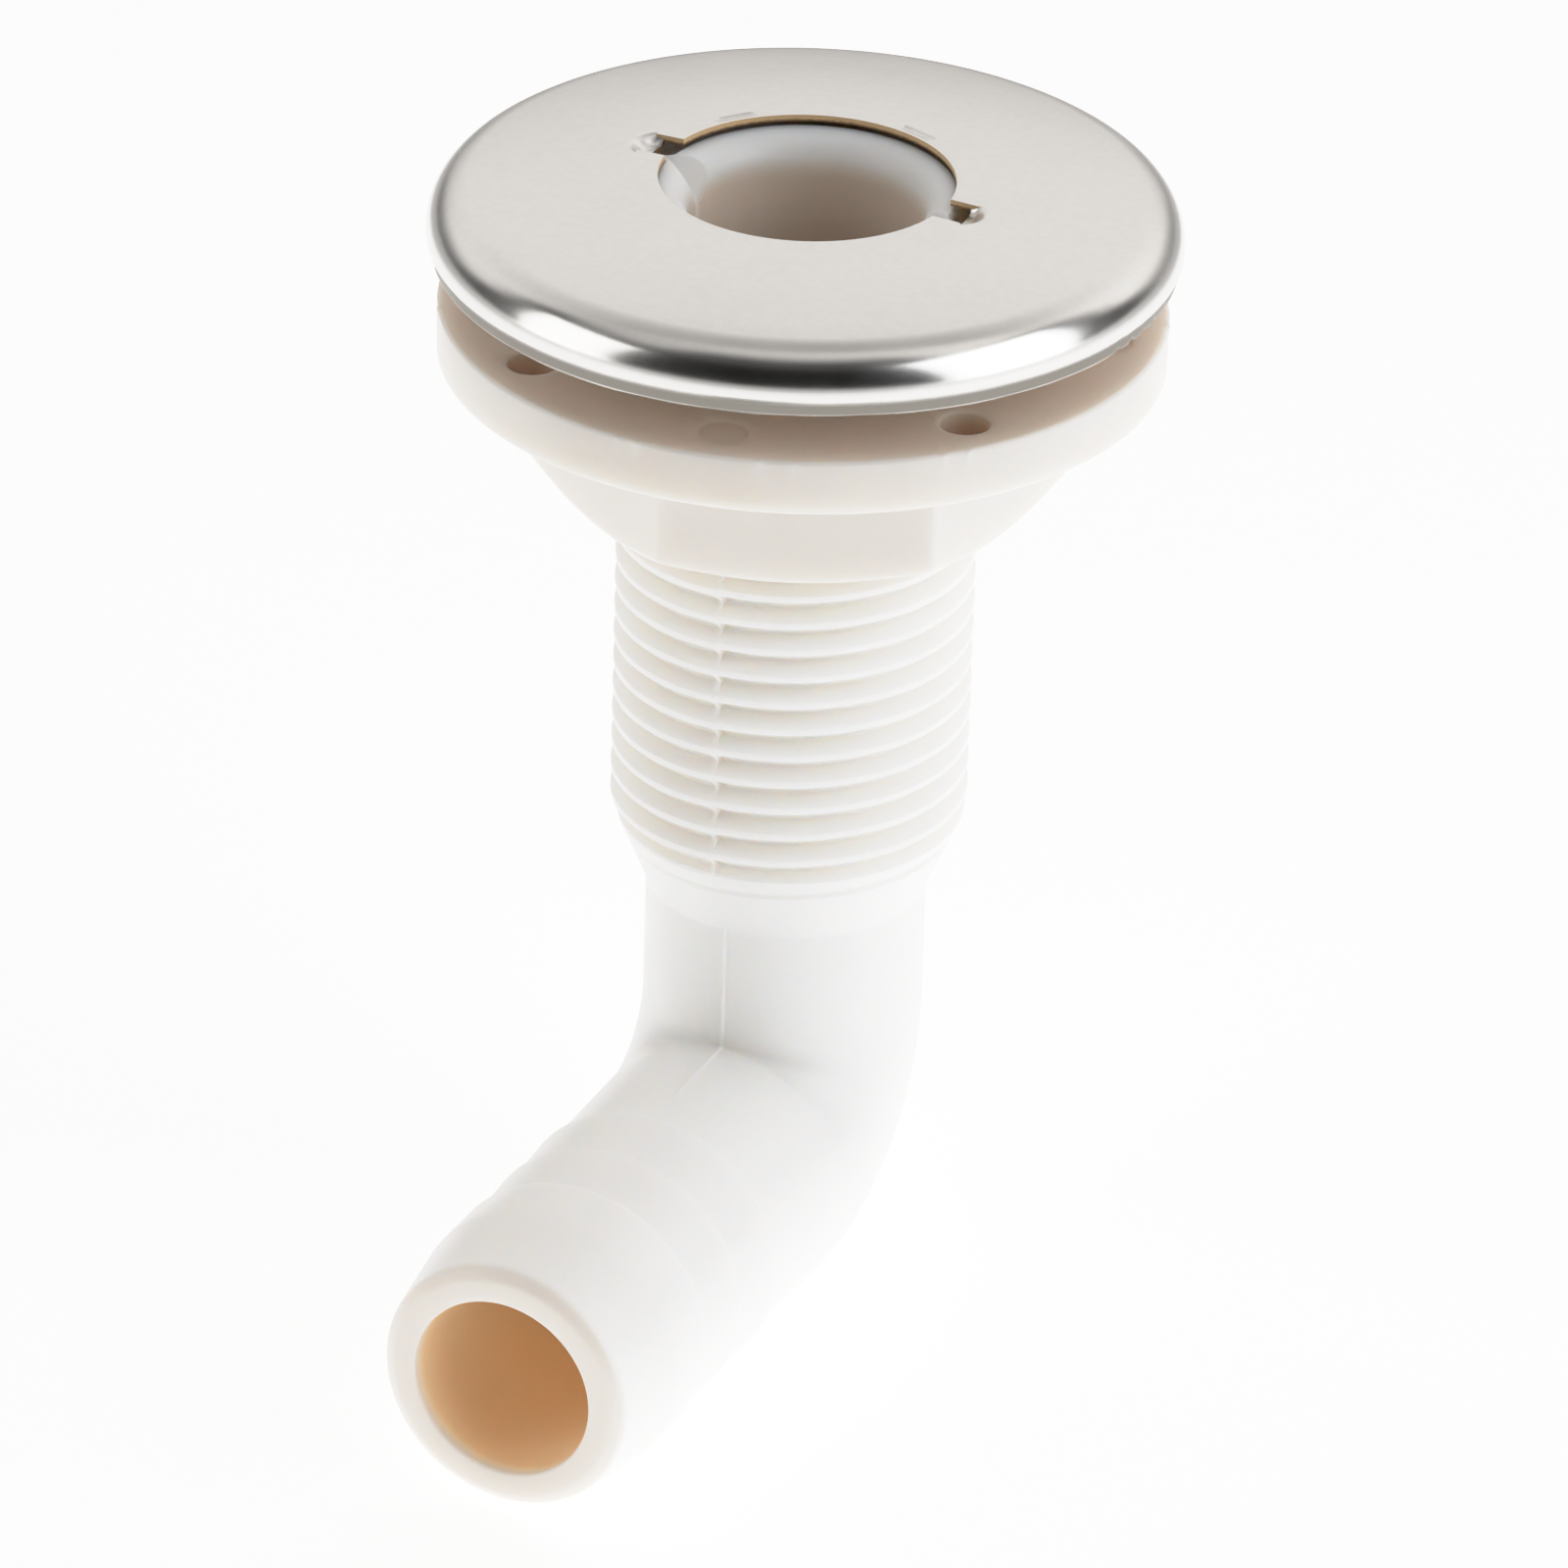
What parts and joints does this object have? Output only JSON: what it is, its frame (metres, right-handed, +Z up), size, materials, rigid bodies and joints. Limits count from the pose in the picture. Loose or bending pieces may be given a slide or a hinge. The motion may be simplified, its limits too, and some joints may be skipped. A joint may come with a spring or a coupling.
{
  "type": "thru hull fitting",
  "caption": "White plastic elbow thru-hull drain fitting with a domed stainless cap, a threaded barrel, a flanged hex nut and a barbed hose tail.",
  "frame": {"origin": "on the barrel axis, in the plane of the head flange's underside that seats on the hull", "axes": "+Z up the barrel towards the metal cap, -Y out along the hose tail"},
  "size_m": [0.056, 0.0753, 0.0895],
  "materials": {
    "body_plastic": "semi-gloss moulded white",
    "nut_plastic": "semi-gloss moulded white",
    "stainless": "fine satin top, polished edge"
  },
  "bodies": {
    "fitting": {"body": "body_plastic", "cap": "stainless"},
    "washer": {"flange_washer": "nut_plastic"},
    "nut": {"hex_nut": "nut_plastic"}
  },
  "joints": [
    {"name": "washer_slide", "type": "slide", "parent": "fitting", "child": "washer", "axis": [0, 0, 1], "range_m": [-0.02487, 0.00366]},
    {"name": "nut_turn", "type": "hinge", "parent": "washer", "child": "nut", "pos_m": [0, 0, -0.0134], "axis": [0, 0, 1], "range_deg": [-4050, 595]}
  ],
  "couplings": [
    {"joint": "washer_slide", "follows": "nut_turn", "m_per_rad": 0.00035157}
  ]
}
